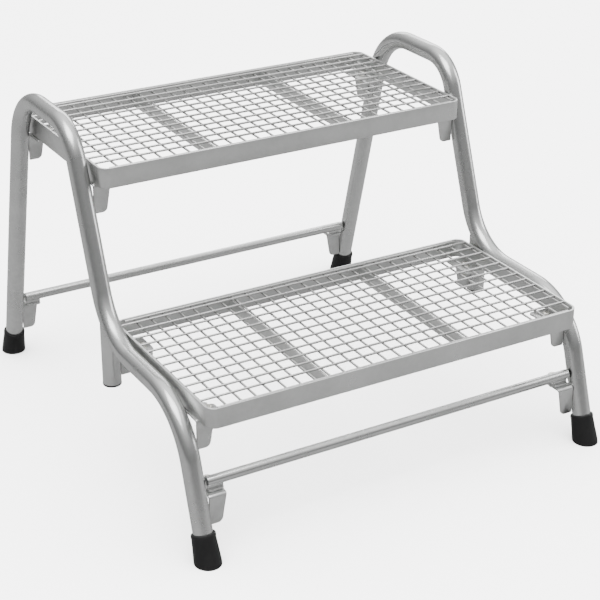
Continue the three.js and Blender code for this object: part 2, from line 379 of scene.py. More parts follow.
# the numbers of a Mix node's sockets, which share their names between kinds of data
COLOR_A, COLOR_B, COLOR_RESULT = 6, 7, 2
FLOAT_A, FLOAT_B, FLOAT_RESULT = 2, 3, 0


def mixed(tree, share, first, second):
    """Blends from a first colour to a second one by a share."""
    blend = add_node(
        tree, "Mix", {"Factor": share, COLOR_A: first, COLOR_B: second}, data_type="RGBA"
    )
    return blend.outputs[COLOR_RESULT]


CLOUD_RANGE = (0.36, 0.64)
SPANGLE_SHARE = 0.22
DULLEST = 0.82
GRAIN_DEPTH = 0.00015
WAVE_SCALE = 22.0
WAVE_DEPTH = 0.0006
# pointiness where rubbing begins and where it is full
RUBBED_RANGE = (0.51, 0.60)
RUBBED_SCALE = 160.0
RUBBED_ZINC = (0.76, 0.76, 0.75, 1)
DUST = (0.015, 0.015, 0.015, 1)


def zinc_clouds():
    """Soft cloudy patches over faint crystal spangles, as a tone and a roughness."""
    tree, inside, outside = new_group(
        "Zinc clouds",
        [("Vector", "Vector", None), ("Scale", "Float", 18.0), ("Spangle Scale", "Float", 140.0),
         ("Pale", "Color", (0.7, 0.7, 0.7, 1)), ("Dull", "Color", (0.5, 0.5, 0.5, 1)),
         ("Smoothest", "Float", 0.28), ("Roughest", "Float", 0.42)],
        [("Color", "Color"), ("Roughness", "Float")],
    )
    clouds = add_node(tree, "TexNoise", {
        "Vector": inside.outputs["Vector"], "Scale": inside.outputs["Scale"],
        "Detail": 6.0, "Roughness": 0.62,
    })
    crystals = add_node(tree, "TexVoronoi", {
        "Vector": inside.outputs["Vector"], "Scale": inside.outputs["Spangle Scale"],
        "Randomness": 1.0,
    })
    crystal_tone = add_node(tree, "RGBToBW", {"Color": crystals.outputs["Color"]})
    spread = add_node(tree, "MapRange", {
        "Value": clouds.outputs["Fac"], "From Min": CLOUD_RANGE[0], "From Max": CLOUD_RANGE[1],
    })
    blend = add_node(tree, "Math", {
        0: crystal_tone.outputs[0], 1: SPANGLE_SHARE, 2: spread.outputs["Result"],
    }, operation="MULTIPLY_ADD")
    dulled = add_node(
        tree, "Math", {0: blend.outputs[0], 1: DULLEST}, operation="MULTIPLY", use_clamp=True
    )
    tone = mixed(tree, dulled.outputs[0], inside.outputs["Pale"], inside.outputs["Dull"])
    rough = add_node(tree, "MapRange", {
        "Value": dulled.outputs[0],
        "To Min": inside.outputs["Smoothest"], "To Max": inside.outputs["Roughest"],
    })
    connect(tree, outside, {"Color": tone, "Roughness": rough.outputs["Result"]})
    return tree


def fine_grain():
    """A fine grain as a normal: drawn lines where the vector is stretched, else a pebble."""
    tree, inside, outside = new_group(
        "Fine grain",
        [("Vector", "Vector", None), ("Scale", "Float", 900.0), ("Height", "Float", 0.15),
         ("Waviness", "Float", 0.2)],
        [("Normal", "Vector")],
    )
    grain = add_node(tree, "TexNoise", {
        "Vector": inside.outputs["Vector"], "Scale": inside.outputs["Scale"],
        "Detail": 3.0, "Roughness": 0.6,
    })
    waves = add_node(tree, "TexNoise", {
        "Vector": inside.outputs["Vector"], "Scale": WAVE_SCALE, "Detail": 2.0,
    })
    fine = add_node(tree, "Bump", {
        "Height": grain.outputs["Fac"], "Strength": inside.outputs["Height"],
        "Distance": GRAIN_DEPTH,
    })
    broad = add_node(tree, "Bump", {
        "Height": waves.outputs["Fac"], "Strength": inside.outputs["Waviness"],
        "Distance": WAVE_DEPTH, "Normal": fine.outputs["Normal"],
    })
    connect(tree, outside, {"Normal": broad.outputs["Normal"]})
    return tree


def rubbed_edges():
    """A mask of convex edges, broken up by a grain."""
    tree, inside, outside = new_group(
        "Rubbed edges",
        [("Pointiness", "Float", 0.5), ("Vector", "Vector", None), ("Amount", "Float", 0.5)],
        [("Mask", "Float")],
    )
    edges = add_node(tree, "MapRange", {
        "Value": inside.outputs["Pointiness"],
        "From Min": RUBBED_RANGE[0], "From Max": RUBBED_RANGE[1],
    })
    grain = add_node(tree, "TexNoise", {
        "Vector": inside.outputs["Vector"], "Scale": RUBBED_SCALE, "Detail": 4.0,
    })
    broken = add_node(
        tree, "Math", {0: edges.outputs["Result"], 1: grain.outputs["Fac"]}, operation="MULTIPLY"
    )
    mask = add_node(
        tree, "Math", {0: broken.outputs[0], 1: inside.outputs["Amount"]},
        operation="MULTIPLY", use_clamp=True,
    )
    connect(tree, outside, {"Mask": mask.outputs[0]})
    return tree


GROUP_MAKERS = {
    "Zinc clouds": zinc_clouds, "Fine grain": fine_grain, "Rubbed edges": rubbed_edges,
}


def placed(tree, name, links):
    """Places a shared group in a material, building it the first time."""
    made = tree.nodes.new("ShaderNodeGroup")
    made.node_tree = bpy.data.node_groups.get(name) or GROUP_MAKERS[name]()
    return connect(tree, made, links)


def new_material(name):
    """A material, with its node tree, its Principled shader and its object coordinates."""
    material = bpy.data.materials.new(name)
    material.use_nodes = True
    tree = material.node_tree
    shader = tree.nodes["Principled BSDF"]
    coordinates = tree.nodes.new("ShaderNodeTexCoord")
    return material, tree, shader, coordinates.outputs["Object"]


def stretched(tree, vector, scale):
    """The object vector scaled by axis, which draws a grain out into lines."""
    return add_node(tree, "Mapping", {"Vector": vector, "Scale": scale}).outputs["Vector"]


def rubbed(tree, vector, amount):
    """A mask of a piece's rubbed edges."""
    geometry = tree.nodes.new("ShaderNodeNewGeometry")
    edges = placed(tree, "Rubbed edges", {
        "Pointiness": geometry.outputs["Pointiness"], "Vector": vector, "Amount": amount,
    })
    return edges.outputs["Mask"]


def zinc(name, pale, dull, smooth, rough, lines, grain_height, waviness, cloud_scale=18.0):
    """Zinc on steel: a cloudy tone, rubbed edges, and a grain scaled by axis."""
    material, tree, shader, vector = new_material(name)
    clouds = placed(tree, "Zinc clouds", {
        "Vector": vector, "Scale": cloud_scale, "Pale": (*pale, 1), "Dull": (*dull, 1),
        "Smoothest": smooth, "Roughest": rough,
    })
    tone = mixed(tree, rubbed(tree, vector, 0.8), clouds.outputs["Color"], RUBBED_ZINC)
    grain = placed(tree, "Fine grain", {
        "Vector": stretched(tree, vector, lines), "Height": grain_height, "Waviness": waviness,
    })
    connect(tree, shader, {
        "Metallic": 1.0, "Base Color": tone, "Roughness": clouds.outputs["Roughness"],
        "Normal": grain.outputs["Normal"],
    })
    return material


def tube_zinc(finishes):
    """Satin zinc on the bent tube, drawn lightly along its length."""
    return zinc(
        "tube_zinc", finishes.zinc, finishes.dull_zinc, smooth=0.21, rough=0.30,
        lines=(1, 1, 0.25), grain_height=0.08, waviness=0.10,
    )


def plate_zinc(finishes):
    """Satin zinc on pressed plate."""
    return zinc(
        "plate_zinc", finishes.zinc, finishes.dull_zinc, smooth=0.26, rough=0.38,
        lines=(1, 1, 1), grain_height=0.12, waviness=0.20, cloud_scale=30.0,
    )


def rim_zinc(finishes):
    """Zinc on rolled flat bar, with its lines lying level along the bar."""
    return zinc(
        "rim_zinc", finishes.zinc, finishes.dull_zinc, smooth=0.27, rough=0.38,
        lines=(0.06, 0.06, 1), grain_height=0.16, waviness=0.15, cloud_scale=12.0,
    )


def wire_zinc(finishes):
    """Bright zinc on drawn wire."""
    dull = tuple(0.78 * tone for tone in finishes.wire)
    return zinc(
        "wire_zinc", finishes.wire, dull, smooth=0.24, rough=0.36,
        lines=(1, 1, 1), grain_height=0.08, waviness=0.10, cloud_scale=60.0,
    )


def fastener_zinc(_finishes):
    """Zinc plate on bolts and nuts, a little yellower and smoother."""
    return zinc(
        "fastener_zinc", pale=(0.68, 0.67, 0.62), dull=(0.52, 0.51, 0.46), smooth=0.20,
        rough=0.34, lines=(1, 1, 1), grain_height=0.08, waviness=0.0, cloud_scale=90.0,
    )


def foot_rubber(finishes):
    """Satin black moulded rubber with dust on its rubbed edges."""
    material, tree, shader, vector = new_material("foot_rubber")
    mottle = add_node(tree, "TexNoise", {"Vector": vector, "Scale": 45.0, "Detail": 5.0})
    greyer = tuple(2.0 * tone for tone in finishes.rubber)
    tone = mixed(tree, mottle.outputs["Fac"], (*finishes.rubber, 1), (*greyer, 1))
    dusted = mixed(tree, rubbed(tree, vector, 0.5), tone, DUST)
    rough = add_node(tree, "MapRange", {
        "Value": mottle.outputs["Fac"], "From Min": 0.3, "From Max": 0.7,
        "To Min": 0.42, "To Max": 0.60,
    })
    pebble = placed(tree, "Fine grain", {
        "Vector": vector, "Scale": 1400.0, "Height": 0.35, "Waviness": 0.15,
    })
    connect(tree, shader, {
        "Specular IOR Level": 0.2, "Base Color": dusted, "Roughness": rough.outputs["Result"],
        "Normal": pebble.outputs["Normal"],
    })
    return material


MATERIAL_MAKERS = {
    "tube_zinc": tube_zinc, "plate_zinc": plate_zinc, "rim_zinc": rim_zinc, "wire_zinc": wire_zinc,
    "fastener_zinc": fastener_zinc, "foot_rubber": foot_rubber,
}


def finish_of(name):
    """A material by name, built the first time it is asked for."""
    return bpy.data.materials.get(name) or MATERIAL_MAKERS[name](bpy.context.scene.stool_finishes)


# ---------- side frames ----------
def sweep_through(corners, radii, steps):
    """In edit mode, draws the selected ring along straight runs and round each inner corner."""
    here = corners[0]
    for before, corner, after, radius in zip(corners, corners[1:], corners[2:], radii):
        back = (before - corner).normalized()
        ahead = (after - corner).normalized()
        half = back.angle(ahead) / 2
        start = corner + back * radius / math.tan(half)
        centre = corner + (back + ahead).normalized() * radius / math.sin(half)
        extrude_by(start - here)
        bpy.ops.mesh.spin(
            steps=steps, angle=math.pi - 2 * half, center=centre,
            axis=back.cross(ahead).normalized(),
        )
        here = corner + ahead * radius / math.tan(half)
    extrude_by(corners[-1] - here)


def side_tube(sizes):
    """One side tube in the stool's middle plane, swept from a ring at the foot of its rear leg."""
    corners = [
        on_leg("rear", TUBE_END_Z), on_leg("rear", LOOP_Z), on_leg("upright", LOOP_Z),
        on_leg("upright", RUN_Z), on_leg("front", RUN_Z), on_leg("front", TUBE_END_Z),
    ]
    lean = LEGS["rear"][1]
    bpy.ops.object.select_all(action="DESELECT")
    bpy.ops.mesh.primitive_circle_add(
        vertices=sizes.tube_sides, radius=TUBE_R, fill_type="NOTHING",
        location=corners[0], rotation=(-math.atan(lean), 0, 0),
    )
    piece = open_new("side_tube_pattern")
    bpy.ops.mesh.select_mode(type="EDGE")
    bpy.ops.mesh.select_all(action="SELECT")
    sweep_through(corners, BEND_RADII, sizes.bend_steps)
    face_outwards()
    close_shape()
    thicken(piece, sizes.tube_wall)
    return piece


STUB_TOP = 0.206
STUB_INSET = 0.0002


def stub_post(node, sizes):
    """The short post under the level run, open below and buried in the run above."""
    low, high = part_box(node)
    centre = (low + high) / 2
    bpy.ops.object.select_all(action="DESELECT")
    bpy.ops.mesh.primitive_cylinder_add(
        vertices=sizes.tube_sides, radius=TUBE_R - STUB_INSET, depth=STUB_TOP - low.z,
        end_fill_type="NOTHING", location=(centre.x, centre.y, (STUB_TOP + low.z) / 2),
    )
    piece = open_new(node + "_formed")
    face_outwards()
    close_shape()
    thicken(piece, sizes.tube_wall)
    soften(piece, sizes.soft_edge / 2, 2, 60)
    return piece


class STOOL_OT_side_frames(Operator):
    """Bends the two side tubes and sets the short posts under them"""

    bl_idname = "stool.side_frames"
    bl_label = "Side frames"

    def execute(self, context):
        sizes = context.scene.stool_sizes
        pattern = side_tube(sizes)
        for side, sign in SIDES:
            tube = copy_of(pattern, f"side_tube_{side}_formed")
            move_by(tube, (sign * FRAME_X, 0, 0))
            deliver(tube, f"side_tube_{side}", finish_of("tube_zinc"))
            post = stub_post(f"stub_post_{side}", sizes)
            deliver(post, f"stub_post_{side}", finish_of("tube_zinc"))
        discard(pattern)
        return {"FINISHED"}


# ---------- rubber ----------
# (radius, height above the floor along the leg's axis)
FOOT_PROFILE = (
    (0.0172, -0.0172), (0.0172, 0.0030), (0.0152, 0.0325), (0.0155, 0.0340),
    (0.0155, 0.0366), (0.0148, 0.0380), (0.0126, 0.0380), (0.0126, 0.0120),
)
FOOT_SIDES = 56
FOOT_SOFTENING = 0.0005
SOLE_ROUNDING = 0.0014
PLUG_SIDES = 48
PLUG_FLANGE = 0.0026


def rubber_foot(name, lean):
    """A ferrule turned about a leg's axis, cut level with the floor and rounded at its sole."""
    piece = turned(name, FOOT_PROFILE, FOOT_SIDES)
    soften(piece, FOOT_SOFTENING, 2, 25)
    piece.rotation_euler = (-math.atan(lean), 0, 0)
    settle()
    bpy.ops.object.mode_set(mode="EDIT")
    bpy.ops.mesh.select_all(action="SELECT")
    bpy.ops.mesh.bisect(plane_co=(0, 0, 0), plane_no=(0, 0, 1), use_fill=True, clear_inner=True)
    pick(piece, "EDGE", lambda edge: all(near(vert.co.z, 0) for vert in edge.verts))
    bpy.ops.mesh.bevel(offset=SOLE_ROUNDING, segments=4, affect="EDGES", clamp_overlap=True)
    face_outwards()
    close_shape()
    return piece


def post_plug(node):
    """The flanged plug in the open end of a short post."""
    low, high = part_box(node)
    seat = low.z + PLUG_FLANGE
    profile = (
        (TUBE_R - 0.0012, low.z), (TUBE_R - 0.0003, low.z + 0.0004), (TUBE_R, low.z + 0.0012),
        (TUBE_R, seat), (TUBE_R - 0.0026, seat), (TUBE_R - 0.0030, high.z),
    )
    piece = turned(node + "_moulded", profile, PLUG_SIDES)
    centre = (low + high) / 2
    move_by(piece, (centre.x, centre.y, 0))
    return piece


class STOOL_OT_rubber(Operator):
    """Moulds the rubber feet and the plugs of the short posts"""

    bl_idname = "stool.rubber"
    bl_label = "Rubber feet and plugs"

    def execute(self, context):
        rubber = finish_of("foot_rubber")
        for end, _ in ENDS:
            foot, lean = LEGS[end]
            pattern = rubber_foot("foot_pattern", lean)
            for side, sign in SIDES:
                piece = copy_of(pattern, f"foot_{end}_{side}_moulded")
                move_by(piece, (sign * FRAME_X, foot, 0))
                deliver(piece, f"foot_{end}_{side}", rubber, 40)
            discard(pattern)
        for side, _ in SIDES:
            deliver(post_plug(f"stub_plug_{side}"), f"stub_plug_{side}", rubber, 40)
        return {"FINISHED"}


# ---------- treads ----------
CORNER_PLATE = Vector((0.030, 0.054, 0.003))
PLATE_END_GAP = 0.012
PLATE_CORNER = 0.005


def rim_ring(level, sizes):
    """The flat bar bent round the tread, with rounded corners and rolled edges."""
    low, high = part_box(f"tread_rim_{level}")
    piece = block(f"tread_rim_{level}_formed", low, high)
    bpy.ops.object.mode_set(mode="EDIT")
    pick(piece, "FACE", lambda face: abs(face.normal.z) > 0.9)
    bpy.ops.mesh.delete(type="ONLY_FACE")
    pick(piece, "EDGE", is_upright)
    bpy.ops.mesh.bevel(offset=sizes.rim_corner, segments=10, affect="EDGES")
    face_outwards()
    close_shape()
    thicken(piece, sizes.rim_wall)
    soften(piece, sizes.soft_edge, 3, 50)
    return piece


def corner_plates(level, sizes):
    """The four bolting plates welded into the rim's lower corners."""
    low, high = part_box(f"tread_rim_{level}")
    plates = []
    for end, inward in ENDS:
        edge = low.y if end == "front" else high.y
        for side, sign in SIDES:
            outer = sign * (high.x - sizes.rim_wall / 2)
            inner = sign * (high.x - sizes.rim_wall - CORNER_PLATE.x)
            ys = sorted((edge + inward * PLATE_END_GAP, edge + inward * CORNER_PLATE.y))
            xs = sorted((outer, inner))
            plate = block(
                f"plate_{level}_{end}_{side}",
                (xs[0], ys[0], low.z), (xs[1], ys[1], low.z + CORNER_PLATE.z),
            )
            bpy.ops.object.mode_set(mode="EDIT")
            pick(
                plate, "EDGE",
                lambda edge: near(abs(edge_middle(edge).x), abs(inner)) and is_upright(edge),
            )
            bpy.ops.mesh.bevel(offset=PLATE_CORNER, segments=6, affect="EDGES")
            close_shape()
            soften(plate, sizes.soft_edge, 2, 50)
            plates.append(plate)
    return plates


# how far the top wires lie below the rim, wires sink into each other, and ends into the rim
WIRE_DEPTH = 0.0002
WIRE_BITE = 0.0005
WIRE_END_BITE = 0.0002
FIRST_LONG_WIRE = 0.0297
LONG_WIRES = 12
SHORT_WIRES = 25
WIRE_SIDES = 14
BORDER_GAP = 0.0008
BAR_END_BITE = 0.0004


def wire_row(name, low, high, radius, along, step, count):
    """A row of straight round wires between two corners, made from one wire."""
    length = (high - low)[along]
    turn = (0, math.pi / 2, 0) if along == 0 else (math.pi / 2, 0, 0)
    start = low.copy()
    start[along] = (low[along] + high[along]) / 2
    bpy.ops.object.select_all(action="DESELECT")
    bpy.ops.mesh.primitive_cylinder_add(
        vertices=WIRE_SIDES, radius=radius, depth=length, location=start, rotation=turn
    )
    piece = open_new(name)
    close_shape()
    soften(piece, radius / 4, 2, 60)
    offset = [0, 0, 0]
    offset[1 - along] = step
    finish_with(
        piece, "ARRAY", count=count, use_relative_offset=False, use_constant_offset=True,
        constant_offset_displace=offset,
    )
    return piece


def wire_mesh(level, sizes):
    """The welded grille: long wires across the width lie over short wires from front to rear."""
    low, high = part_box(f"tread_rim_{level}")
    radius = sizes.wire / 2
    inset = sizes.rim_wall - WIRE_END_BITE
    long_level = high.z - WIRE_DEPTH - radius
    short_level = long_level - sizes.wire + WIRE_BITE
    first_y = low.y + FIRST_LONG_WIRE
    long_wires = wire_row(
        f"tread_mesh_{level}_welded", Vector((low.x + inset, first_y, long_level)),
        Vector((high.x - inset, first_y, long_level)), radius, 0, sizes.pitch, LONG_WIRES,
    )
    first_x = (low.x + high.x) / 2 - (SHORT_WIRES - 1) / 2 * sizes.pitch
    short_wires = wire_row(
        f"short_wires_{level}", Vector((first_x, low.y + inset, short_level)),
        Vector((first_x, high.y - inset, short_level)), radius, 1, sizes.pitch, SHORT_WIRES,
    )
    rows = [long_wires, short_wires]
    corner, beside = sizes.rim_corner, sizes.rim_wall + BORDER_GAP + radius
    rows.append(wire_row(
        f"long_borders_{level}", Vector((low.x + corner, low.y + beside, long_level)),
        Vector((high.x - corner, low.y + beside, long_level)), radius, 0,
        high.y - low.y - 2 * beside, 2,
    ))
    rows.append(wire_row(
        f"short_borders_{level}", Vector((low.x + beside, low.y + corner, short_level)),
        Vector((low.x + beside, high.y - corner, short_level)), radius, 1,
        high.x - low.x - 2 * beside, 2,
    ))
    return join(rows)


def support_bar(node, level, sizes):
    """A flat bar on edge under the grille, standing up to its short wires."""
    low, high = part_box(node)
    rim_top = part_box(f"tread_rim_{level}")[1].z
    top = rim_top - WIRE_DEPTH - 2 * sizes.wire + 1.5 * WIRE_BITE
    reach = Vector((0, BAR_END_BITE, 0))
    piece = block(node + "_formed", low - reach, Vector((high.x, high.y, top)) + reach)
    soften(piece, sizes.soft_edge, 3, 50)
    return piece


class STOOL_OT_treads(Operator):
    """Builds both treads: rims with corner plates, welded grilles and support bars"""

    bl_idname = "stool.treads"
    bl_label = "Treads"

    def execute(self, context):
        sizes = context.scene.stool_sizes
        for level in LEVELS:
            rim = join([rim_ring(level, sizes), *corner_plates(level, sizes)])
            deliver(rim, f"tread_rim_{level}", finish_of("rim_zinc"))
            grille = wire_mesh(level, sizes)
            deliver(grille, f"tread_mesh_{level}", finish_of("wire_zinc"), 50)
            for side, _ in SIDES:
                node = f"tread_bar_{level}_{side}"
                bar = support_bar(node, level, sizes)
                deliver(bar, node, finish_of("rim_zinc"))
        return {"FINISHED"}


# ---------- cross bars ----------
BAR_R = 0.0065
BAR_WALL = 0.0015
BAR_SIDES = 40
BAR_Z = 0.093
BAR_FOOT_INSET = 0.001
BAR_FOOT_WIDTH = 0.0215
BAR_FOOT_FRONT = 0.005
BAR_FOOT_REAR = 0.026
TAB_CORNER = 0.004


def cross_bar(end, sizes):
    """A low tie tube with open ends, and under each end a web and a bolting tab."""
    node = f"cross_bar_{end}"
    low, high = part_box(node)
    bar_y = on_leg(end, BAR_Z).y
    bpy.ops.object.select_all(action="DESELECT")
    bpy.ops.mesh.primitive_cylinder_add(
        vertices=BAR_SIDES, radius=BAR_R, depth=high.x - low.x, end_fill_type="NOTHING",
        location=(0, bar_y, BAR_Z), rotation=(0, math.pi / 2, 0),
    )
    bar = open_new(node + "_formed")
    face_outwards()
    close_shape()
    thicken(bar, BAR_WALL)
    soften(bar, sizes.soft_edge, 3, 60)
    pieces = [bar]
    half = sizes.rim_wall / 2
    for side, sign in SIDES:
        outer = sign * (high.x - BAR_FOOT_INSET)
        xs = sorted((outer, outer - sign * BAR_FOOT_WIDTH))
        web = block(
            f"web_{side}", (xs[0], bar_y - half, low.z + half),
            (xs[1], bar_y + half, BAR_Z - BAR_R + half),
        )
        tab = block(
            f"tab_{side}", (xs[0], bar_y - BAR_FOOT_FRONT, low.z),
            (xs[1], bar_y + BAR_FOOT_REAR, low.z + sizes.rim_wall),
        )
        bpy.ops.object.mode_set(mode="EDIT")
        pick(tab, "EDGE", is_upright)
        bpy.ops.mesh.bevel(offset=TAB_CORNER, segments=5, affect="EDGES")
        close_shape()
        for part in (web, tab):
            soften(part, sizes.soft_edge, 3, 50)
        pieces += [web, tab]
    return join(pieces)


class STOOL_OT_cross_bars(Operator):
    """Makes the two low cross bars"""

    bl_idname = "stool.cross_bars"
    bl_label = "Cross bars"

    def execute(self, context):
        for end, _ in ENDS:
            bar = cross_bar(end, context.scene.stool_sizes)
            deliver(bar, f"cross_bar_{end}", finish_of("tube_zinc"))
        return {"FINISHED"}


# ---------- brackets ----------
PLATE_FOOT = 0.030
PLATE_TOP = 0.037
PLATE_HEIGHT = 0.040
TUBE_GAP = 0.0001
BEND_R = 0.0045
BRACKET_CORNER = 0.006
BRACKET_SOFTENING = 1.3  # of the usual soft edge


def bracket(name, reach, depth, sizes):
    """A pressed bracket: a tapered plate across the stool, folded over into a flange.

    It is made for a front left corner, with the frame plane at x = 0, the flange's top
    at z = 0 and the plate's outer face at y = 0.
    """
    start = TUBE_R + TUBE_GAP
    bpy.ops.object.select_all(action="DESELECT")
    bpy.ops.mesh.primitive_plane_add(
        size=1, location=((start + PLATE_FOOT) / 2, 0, -PLATE_HEIGHT / 2),
        rotation=(math.pi / 2, 0, 0),
    )
    bpy.context.object.scale = (PLATE_FOOT - start, PLATE_HEIGHT, 1)
    piece = open_new(name)
    pick(piece, "VERT", lambda v: near(v.co.x, PLATE_FOOT) and near(v.co.z, 0))
    bpy.ops.transform.translate(value=(PLATE_TOP - PLATE_FOOT, 0, 0))
    pick(piece, "EDGE", lambda e: all(near(v.co.z, 0) for v in e.verts))
    extrude_by((0, depth, 0))
    pick(piece, "VERT", lambda v: near(v.co.x, PLATE_TOP) and near(v.co.y, depth))
    bpy.ops.transform.translate(value=(reach - PLATE_TOP, 0, 0))
    pick(piece, "VERT", lambda v: near(v.co.x, PLATE_FOOT) or near(v.co.x, reach))
    bpy.ops.mesh.bevel(offset=BRACKET_CORNER, segments=7, affect="VERTICES")
    pick(piece, "EDGE", lambda e: all(near(v.co.z, 0) and near(v.co.y, 0) for v in e.verts))
    bpy.ops.mesh.bevel(offset=BEND_R, segments=7, affect="EDGES")
    bpy.ops.mesh.select_all(action="SELECT")
    bpy.ops.mesh.normals_make_consistent(inside=False)
    turn_plate_forward(piece)
    close_shape()
    thicken(piece, sizes.rim_wall)
    soften(piece, sizes.soft_edge * BRACKET_SOFTENING, 3, 50)
    return piece


def turn_plate_forward(piece):
    """In edit mode, flips a bracket whose plate faces the middle, so that it thickens inwards."""
    mesh = bmesh.from_edit_mesh(piece.data)
    plate = max(mesh.faces, key=lambda face: abs(face.normal.y) * face.calc_area())
    if plate.normal.y > 0:
        bpy.ops.mesh.select_all(action="SELECT")
        bpy.ops.mesh.flip_normals()


# brackets of one shape, and which way each flange points along Y
BRACKET_SETS = (
    (("lower_front", "lower_rear", "upper_front", "upper_rear"), (1, -1, 1, -1)),
    (("bar_front",), (1,)),
    (("bar_rear",), (1,)),
)


class STOOL_OT_brackets(Operator):
    """Presses the twelve brackets that carry the treads and cross bars"""

    bl_idname = "stool.brackets"
    bl_label = "Brackets"

    def execute(self, context):
        sizes = context.scene.stool_sizes
        for places, mirrors in BRACKET_SETS:
            low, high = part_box(f"bracket_{places[0]}_left")
            pattern = bracket("bracket_pattern", high.x + FRAME_X, high.y - low.y, sizes)
            for place, way in zip(places, mirrors):
                for side, sign in SIDES:
                    node = f"bracket_{place}_{side}"
                    piece = copy_of(pattern, node + "_pressed", (-sign, way, 1))
                    fit_to(piece, node)
                    deliver(piece, node, finish_of("plate_zinc"))
            discard(pattern)
        return {"FINISHED"}


# ---------- fasteners ----------
HEAD_R = 0.0058
FLANGE_R = 0.0070
FLANGE = 0.0012
FLANGE_EDGE = 0.0005
FLANGE_SLOPE = 0.0010
HEAD_TOP = 0.0052
HEAD_CHAMFER = 0.0009
HEAD_CHAMFER_DEPTH = 0.0008
SHANK_R = 0.0030
SHANK_END = -0.0150
SHANK_CHAMFER = 0.0007
THREAD_DEPTH = 0.0003
THREAD_PITCH = 0.0010
THREAD_START = -0.0060
THREAD_RUNOUT = 0.0006
NUT_HEIGHT = 0.0050
NUT_CHAMFER = 0.0006
FASTENER_SOFTENING = 0.0002


def threaded_shank():
    """The shank's profile downwards: a plain neck, then a ring for each crest and root."""
    profile = [(SHANK_R, FLANGE / 2), (SHANK_R, THREAD_START)]
    level = THREAD_START
    while level - THREAD_PITCH > SHANK_END + THREAD_RUNOUT:
        profile.append((SHANK_R - THREAD_DEPTH, level - THREAD_PITCH / 2))
        profile.append((SHANK_R, level - THREAD_PITCH))
        level -= THREAD_PITCH
    profile.append((SHANK_R - SHANK_CHAMFER, SHANK_END))
    return profile


def flange_bolt():
    """A hexagon bolt with a pressed flange, its head's seat at z = 0."""
    flange_profile = (
        (FLANGE_R, 0), (FLANGE_R, FLANGE_EDGE), (FLANGE_R - FLANGE_SLOPE, FLANGE),
    )
    head_profile = (
        (HEAD_R, FLANGE / 2), (HEAD_R, HEAD_TOP - HEAD_CHAMFER_DEPTH),
        (HEAD_R - HEAD_CHAMFER, HEAD_TOP),
    )
    flange = turned("flange_bolt", flange_profile, 36)
    head = turned("bolt_head", head_profile, 6)
    soften(head, FASTENER_SOFTENING, 2, 20)
    shank = turned("bolt_shank", threaded_shank(), 20)
    return join([flange, head, shank])


def hexagon_nut():
    """A hexagon nut with both faces chamfered, upper face at z = 0."""
    profile = (
        (HEAD_R - NUT_CHAMFER, -NUT_HEIGHT), (HEAD_R, NUT_CHAMFER - NUT_HEIGHT),
        (HEAD_R, -NUT_CHAMFER), (HEAD_R - NUT_CHAMFER, 0),
    )
    nut = turned("hexagon_nut", profile, 6)
    soften(nut, FASTENER_SOFTENING, 2, 20)
    return nut


class STOOL_OT_fasteners(Operator):
    """Makes the bolts and nuts that hold the treads and cross bars to their brackets"""

    bl_idname = "stool.fasteners"
    bl_label = "Bolts and nuts"

    def execute(self, context):
        finish = finish_of("fastener_zinc")
        for kind, pattern in (("bolt", flange_bolt()), ("nut", hexagon_nut())):
            for level in (*LEVELS, "bar"):
                for end, _ in ENDS:
                    for side, _ in SIDES:
                        node = f"{kind}_{level}_{end}_{side}"
                        piece = copy_of(pattern, node + "_turned")
                        fit_to(piece, node)
                        deliver(piece, node, finish, 25)
            discard(pattern)
        return {"FINISHED"}


# ---------- stage ----------
SURROUND = 9.0
# (height of a direction, level)
SKY = ((0.0, 0.16), (0.45, 0.34), (0.9, 1.0))
BRIGHT_SIDE = (0.8, 0.6, 0.0)
SIDE_SPREAD = 0.9
# (place between the dark and the bright side, level)
SURROUND_IN_METAL = ((0.0, 0.9), (0.45, 1.2), (1.0, 2.6))
FLOOR_IN_METAL = 0.12
LIGHT_AIM = (0, 0, 0.25)
# (name, place, width, height, radiance)
SOFT_BOXES = (
    ("top_box", (-0.7, -0.5, 2.6), 1.8, 1.8, 6.0),
    ("back_box", (2.3, 3.2, 1.9), 3.0, 1.5, 4.0),
    ("side_box", (3.0, -0.9, 1.3), 1.0, 2.0, 5.0),
)
CAMERA_PLACE = (-1.0087, -1.7673, 1.1321)
CAMERA_AZIMUTH = -30.31
CAMERA_DIP = 25.82
CAMERA_ROLL = 0.276
CAMERA_LENS = 96.98


def studio_camera():
    """The camera, looking down on the stool's left front corner."""
    bpy.ops.object.camera_add()
    camera = bpy.context.object
    camera.name = "studio_camera"
    turn = (
        Matrix.Rotation(math.radians(CAMERA_AZIMUTH), 4, "Z")
        @ Matrix.Rotation(math.radians(90 - CAMERA_DIP), 4, "X")
        @ Matrix.Rotation(math.radians(CAMERA_ROLL), 4, "Z")
    )
    camera.matrix_world = Matrix.Translation(CAMERA_PLACE) @ turn
    camera.data.lens = CAMERA_LENS
    camera.data.sensor_width = 36
    camera.data.clip_end = 50
    bpy.context.scene.camera = camera


def by_ray(tree, socket, seen_in_metal, otherwise):
    """Gives a socket one value in the metal's reflections and another everywhere else."""
    rays = tree.nodes.new("ShaderNodeLightPath")
    choice = add_node(tree, "Mix", {
        "Factor": rays.outputs["Is Glossy Ray"], FLOAT_A: otherwise, FLOAT_B: seen_in_metal,
    }, data_type="FLOAT")
    tree.links.new(choice.outputs[FLOAT_RESULT], socket)


def grey_ramp(tree, share, levels):
    """A ramp through (place, level) pairs, read at a share."""
    ramp = add_node(tree, "ValToRGB", {"Fac": share})
    stops = ramp.color_ramp.elements
    for stop, (place, level) in zip((stops[0], stops[1]), (levels[0], levels[-1])):
        stop.position = place
        stop.color = (level, level, level, 1)
    for place, level in levels[1:-1]:
        stops.new(place).color = (level, level, level, 1)
    return ramp.outputs["Color"]


